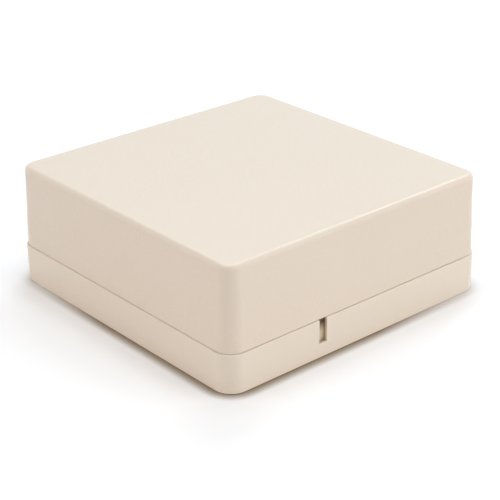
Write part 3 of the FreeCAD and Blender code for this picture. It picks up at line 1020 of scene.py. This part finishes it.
@dataclass
class TerminalBlock:
    """The barrier block inside the box: insulator, brass plates, clamp washers and screws."""

    insulator: MouldedPlastic
    brass: RolledMetal
    stamped: RolledMetal
    turned: TurnedMetal
    poles: int = 5
    fin_thickness: float = 1.6 * MM
    fin_crown: float = 0.5 * MM
    fin_strips: int = 4
    lug_width: float = 10.0 * MM
    lug_length: float = 7.0 * MM
    lug_corner: float = 1.2 * MM
    lug_strips: int = 5
    lug_hole_radius: float = 1.45 * MM
    lug_hole_cut: float = 8.0 * MM
    well_radius: float = 1.95 * MM
    well_depth: float = 3.5 * MM
    well_cut: float = 5.0 * MM
    clamp_shank: float = 1.75 * MM
    holder_shank: float = 1.25 * MM
    holder_head_height: float = 1.7 * MM
    holder_pitch: float = 0.9 * MM
    plate_corner: float = 0.5 * MM
    plate_strips: int = 4
    edge_break: float = 0.15 * MM
    sheet_break: float = 0.12 * MM
    slot_seed: int = 5

    def __post_init__(self) -> None:
        """Read the block's places from the frame."""
        self.low, self.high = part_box("terminal_block")
        self.plates = [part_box("bus_plate_%d" % (i + 1)) for i in range(self.poles)]
        self.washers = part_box("clamp_washers")
        self.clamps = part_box("clamp_screws")
        self.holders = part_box("block_screws")
        self.pole_x = [(low.x + high.x) / 2 for low, high in self.plates]
        self.pitch = self.pole_x[1] - self.pole_x[0]
        self.clamp_head = self.clamps[1].x - self.pole_x[-1]
        self.clamp_y = self.clamps[1].y - self.clamp_head
        self.holder_head = self.holders[1].y
        self.holder_x = self.holders[1].x - self.holder_head
        self.seat = self.plates[0][0].z
        self.bar_x = self.high.x - self.lug_length
        self.lug_top = self.holders[1].z - self.holder_head_height

    def build(self) -> None:
        """Build and dress every piece of the block."""
        self._mould_insulator()
        self._stamp_plates()
        self._stamp_washers()
        self._drive_screws()

    def clamp_places(self) -> list[Vector]:
        """Return the axis of both clamp screws of every pole."""
        return [Vector((x, y, 0.0)) for x in self.pole_x for y in (-self.clamp_y, self.clamp_y)]

    def holder_places(self) -> list[Vector]:
        """Return the axis of the screw in each lug."""
        return [Vector((x, 0.0, 0.0)) for x in (-self.holder_x, self.holder_x)]

    def _mould_insulator(self) -> None:
        """Shape the insulator: a bar, its barriers and its two fixing lugs."""
        bar = Bench.cuboid(
            "insulator",
            Vector((-self.bar_x, self.low.y, self.low.z)),
            Vector((self.bar_x, self.high.y, self.seat)),
        )
        Bench.edit(bar)
        self._draw_lugs(bar)
        self._draw_fins(bar)
        bpy.ops.object.mode_set(mode="OBJECT")
        well_foot = self.seat - self.well_depth
        wells = Bench.drills(self.clamp_places(), well_foot, self.well_radius, self.well_cut)
        hole_foot = self.low.z - Bench.CUT_SPARE
        holes = Bench.drills(self.holder_places(), hole_foot, self.lug_hole_radius, self.lug_hole_cut)
        Bench.tidy_flats(bar)
        Bench.carve(bar, wells + holes)
        Bench.soften(bar, self.edge_break)
        seat_piece(bar, Body.BASE, Slot.INSULATOR, self.insulator.build(), "terminal_block")

    def _draw_lugs(self, bar: Piece) -> None:
        """Draw a fixing lug out of each end of the bar and round its corners.

        Args:
            bar: The insulator being edited.
        """
        half = self.lug_width / 2
        for y in (-half, half):
            Bench.slice_at(Vector((0.0, y, 0.0)), Vector((0.0, 1.0, 0.0)))
        Bench.slice_at(UP * self.lug_top, UP)
        for side in (-1.0, 1.0):
            Bench.pick(
                bar,
                Pick.FACES,
                lambda f: f.normal.x * side > Bench.FACING
                and f.calc_center_median().z < self.lug_top
                and abs(f.calc_center_median().y) < half,
            )
            Bench.draw_out(Vector((side * self.lug_length, 0.0, 0.0)))
        end = self.bar_x + self.lug_length / 2
        Bench.pick(
            bar,
            Pick.EDGES,
            lambda e: min(abs(v.co.x) for v in e.verts) > end and Bench.run(e).z > Bench.LEAST_RUN,
        )
        Bench.round_edges(self.lug_corner, self.lug_strips)

    def _draw_fins(self, bar: Piece) -> None:
        """Draw the barriers up out of the bar and round their tops.

        Args:
            bar: The insulator being edited.
        """
        half = self.fin_thickness / 2
        middles = [(i - self.poles / 2) * self.pitch for i in range(self.poles + 1)]
        for middle in middles:
            for x in (middle - half, middle + half):
                if abs(x) < self.bar_x - half / 2:
                    Bench.slice_at(Vector((x, 0.0, 0.0)), Vector((1.0, 0.0, 0.0)))
        Bench.pick(
            bar,
            Pick.FACES,
            lambda f: f.normal.z > Bench.FACING
            and f.calc_center_median().z > self.seat - Bench.NEAR
            and any(abs(f.calc_center_median().x - middle) < half for middle in middles),
        )
        Bench.draw_out(UP * (self.high.z - self.seat))
        Bench.pick(
            bar,
            Pick.EDGES,
            lambda e: min(v.co.z for v in e.verts) > self.high.z - Bench.NEAR
            and Bench.run(e).y > Bench.LEAST_RUN
            and min(abs(abs(e.verts[0].co.x - middle) - half) for middle in middles) < Bench.NEAR,
        )
        Bench.round_edges(self.fin_crown, self.fin_strips)

    def _stamp(self, name: str, low: Vector, high: Vector, holes: list[Vector], radius: float) -> Piece:
        """Stamp one flat piece with round holes.

        Args:
            name: The piece's name.
            low: Its lowest corner.
            high: Its highest corner.
            holes: The axis of each hole.
            radius: The holes' radius.

        Returns:
            The piece, with its corners and edges rounded.
        """
        thickness = high.z - low.z
        sheet = Bench.cuboid(name, low, high)
        Bench.edit(sheet)
        Bench.pick(sheet, Pick.EDGES, lambda e: Bench.run(e).z > thickness / 2)
        Bench.round_edges(self.plate_corner, self.plate_strips)
        bpy.ops.object.mode_set(mode="OBJECT")
        foot = low.z - Bench.CUT_SPARE
        Bench.carve(sheet, Bench.drills(holes, foot, radius, thickness + 2 * Bench.CUT_SPARE))
        Bench.soften(sheet, self.sheet_break)
        return sheet

    def _stamp_plates(self) -> None:
        """Stamp the brass plates, one to a pole."""
        material = self.brass.build()
        low, high = self.plates[0]
        holes = [Vector((self.pole_x[0], y, 0.0)) for y in (-self.clamp_y, self.clamp_y)]
        first = self._stamp("plate", low, high, holes, self.clamp_shank)
        for number, x in enumerate(self.pole_x, start=1):
            move = Matrix.Translation(Vector((x - self.pole_x[0], 0.0, 0.0)))
            plate = Bench.repeat(first, "plate_%d" % number, move)
            seat_piece(plate, Body.BASE, Slot.PLATE, material, "bus_plate_%d" % number)
        bpy.data.objects.remove(first)

    def _stamp_washers(self) -> None:
        """Stamp the square clamp washers, one under each clamp screw's head."""
        material = self.stamped.build()
        half_x = self.washers[1].x - self.pole_x[-1]
        half_y = self.washers[1].y - self.clamp_y
        low = Vector((-half_x, -half_y, self.washers[0].z))
        high = Vector((half_x, half_y, self.washers[1].z))
        first = self._stamp("washer", low, high, [Vector()], self.well_radius)
        for number, place in enumerate(self.clamp_places(), start=1):
            washer = Bench.repeat(first, "clamp_washer_%d" % number, Matrix.Translation(place))
            seat_piece(washer, Body.BASE, Slot.STEEL, material, "clamp_washers")
        bpy.data.objects.remove(first)

    def _drive_screws(self) -> None:
        """Drive the clamp screws and the two screws that hold the block."""
        turns = random.Random(self.slot_seed)
        clamp = SlottedScrew(
            name="clamp_screw",
            node="clamp_screws",
            head_radius=self.clamp_head,
            shank_radius=self.clamp_shank,
            seat=self.washers[1].z,
            top=self.clamps[1].z,
            tip=self.clamps[0].z,
        )
        clamp.drive(self.clamp_places(), self.turned, turns)
        holder = SlottedScrew(
            name="block_screw",
            node="block_screws",
            head_radius=self.holder_head,
            shank_radius=self.holder_shank,
            seat=self.lug_top,
            top=self.holders[1].z,
            tip=self.holders[0].z,
            thread_pitch=self.holder_pitch,
        )
        holder.drive(self.holder_places(), self.turned, turns)


@dataclass
class Lamp:
    """One square soft box that faces the box from a height and a side, both given in degrees."""

    name: str
    height: float
    side: float
    size: float
    power: float
    tone: LampTone
    mirrored: bool = True
    distance: float = 1.0

    def hang(self) -> None:
        """Hang the lamp and turn it to the origin."""
        light = bpy.data.lights.new(self.name, "AREA")
        light.shape = "SQUARE"
        light.size = self.size
        light.energy = self.power
        light.color = self.tone.value
        height = math.radians(self.height)
        side = math.radians(self.side)
        flat = math.cos(height)
        away = Vector((flat * math.cos(side), flat * math.sin(side), math.sin(height)))
        lamp = bpy.data.objects.new(self.name, light)
        lamp.location = away * self.distance
        lamp.rotation_mode = "QUATERNION"
        lamp.rotation_quaternion = away.to_track_quat("Z", "Y")
        lamp.visible_glossy = self.mirrored
        bpy.context.scene.collection.objects.link(lamp)


@dataclass
class Studio:
    """The white table, the soft light and the camera."""

    floor: WhiteFloor
    lamps: tuple[Lamp, ...]
    floor_side: float = 6.0
    ambient: float = 0.02
    image_side: int = 500
    focal_pixels: float = 1460.7
    sensor_width: float = 36.0
    nearest: float = 0.01
    azimuth: float = math.radians(-40.74)
    elevation: float = math.radians(25.34)
    roll: float = math.radians(-0.55)
    distance: float = 0.3583
    target: Vector = Vector((0.52, -0.26, 8.31)) * MM

    def build(self) -> None:
        """Lay the floor, light it and set the camera."""
        self._lay_floor()
        self._light_world()
        for lamp in self.lamps:
            lamp.hang()
        self._set_camera()

    def _lay_floor(self) -> None:
        """Lay the white table top under the box."""
        Bench.clear()
        bpy.ops.mesh.primitive_plane_add(size=self.floor_side)
        floor = bpy.context.object
        floor.name = "floor"
        floor.data.materials.append(self.floor.build())

    def _light_world(self) -> None:
        """Light the room evenly and show it white to the camera and in reflections."""
        world = bpy.data.worlds.new("room")
        world.use_nodes = True
        bpy.context.scene.world = world
        wiring = Wiring(world.node_tree)
        back = world.node_tree.nodes["Background"]
        back.inputs["Color"].default_value = (1.0, 1.0, 1.0, 1.0)
        wiring.feed(back, "Strength", wiring.span(seen_share(wiring), self.ambient, 1.0))

    def _set_camera(self) -> None:
        """Set the camera where the photograph was taken from."""
        lens = bpy.data.cameras.new("camera")
        lens.sensor_width = self.sensor_width
        lens.lens = self.focal_pixels / self.image_side * self.sensor_width
        lens.clip_start = self.nearest
        camera = bpy.data.objects.new("camera", lens)
        bpy.context.scene.collection.objects.link(camera)
        flat = math.cos(self.elevation)
        back = Vector(
            (math.sin(self.azimuth) * flat, -math.cos(self.azimuth) * flat, math.sin(self.elevation))
        )
        right = Vector((math.cos(self.azimuth), math.sin(self.azimuth), 0.0))
        up = back.cross(right)
        turn = Matrix.Rotation(self.roll, 3, back)
        axes = Matrix((turn @ right, turn @ up, back)).transposed()
        camera.matrix_world = Matrix.Translation(self.target + back * self.distance) @ axes.to_4x4()
        bpy.context.scene.camera = camera


CREAM_COVER = MouldedPlastic(
    name="cream_cover",
    colour=(0.80, 0.70, 0.587),
    deep_colour=(0.785, 0.684, 0.569),
    rubbed_and_sheen_colour=(0.82, 0.725, 0.61),
    roughness=(0.2, 0.32),
)
# The base is painted a little lighter than the cover, to make up for the light it lacks near the floor.
CREAM_BASE = SlottedPlastic(
    name="cream_base",
    colour=(0.824, 0.734, 0.619),
    deep_colour=(0.809, 0.717, 0.601),
    rubbed_and_sheen_colour=(0.84, 0.755, 0.64),
    roughness=(0.2, 0.32),
)
BLACK_INSULATOR = MouldedPlastic(
    name="black_insulator",
    colour=(0.03, 0.03, 0.032),
    deep_colour=(0.022, 0.022, 0.024),
    rubbed_and_sheen_colour=(0.075, 0.073, 0.072),
    roughness=(0.42, 0.62),
    grain_scale=4200.0,
    drift_scale=120.0,
    rub_and_sheen=EdgeRubAndSheen(radius=0.25 * MM, gain=1.6, break_scale=420.0),
)
ROLLED_BRASS = RolledMetal(
    name="rolled_brass",
    colour=(0.78, 0.57, 0.26),
    tarnish_colour=(0.62, 0.42, 0.18),
    sheared_colour=(0.86, 0.68, 0.38),
    roughness=(0.2, 0.42),
)
STAMPED_STEEL = RolledMetal(
    name="stamped_steel",
    colour=(0.66, 0.66, 0.64),
    tarnish_colour=(0.55, 0.56, 0.55),
    sheared_colour=(0.8, 0.8, 0.79),
    roughness=(0.22, 0.44),
)
TURNED_STEEL = TurnedMetal(
    name="turned_steel",
    colour=(0.7, 0.7, 0.68),
    dull_colour=(0.58, 0.585, 0.57),
    rubbed_and_sheen_colour=(0.84, 0.84, 0.83),
    roughness=(0.18, 0.36),
)
LAMPS = (
    Lamp("right_box", height=25.0, side=311.0, size=0.9, power=5.34, tone=LampTone.WARM, mirrored=False),
    Lamp("front_box", height=25.0, side=225.0, size=0.6, power=2.55, tone=LampTone.ROSY, mirrored=False),
    Lamp("left_box", height=25.0, side=143.0, size=0.9, power=3.42, tone=LampTone.ROSY, mirrored=False),
    Lamp("back_box", height=48.0, side=45.0, size=0.5, power=2.2, tone=LampTone.COOL),
    Lamp("edge_box", height=37.0, side=25.0, size=0.25, power=1.0, tone=LampTone.COOL),
    Lamp("top_box", height=90.0, side=0.0, size=0.6, power=5.05, tone=LampTone.COOL),
)


def main() -> None:
    """Build the box's pieces in order, then the studio."""
    logging.basicConfig(level=logging.INFO, format="%(message)s")
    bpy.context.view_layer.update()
    MouldedShell("base", Body.BASE, Slot.BASE, CREAM_BASE).build()
    MouldedShell("cover", Body.COVER, Slot.COVER, CREAM_COVER).build()
    TerminalBlock(BLACK_INSULATOR, ROLLED_BRASS, STAMPED_STEEL, TURNED_STEEL).build()
    Studio(WhiteFloor(), LAMPS).build()
    bpy.context.scene.view_settings.view_transform = "Standard"


if __name__ == "__main__":
    main()
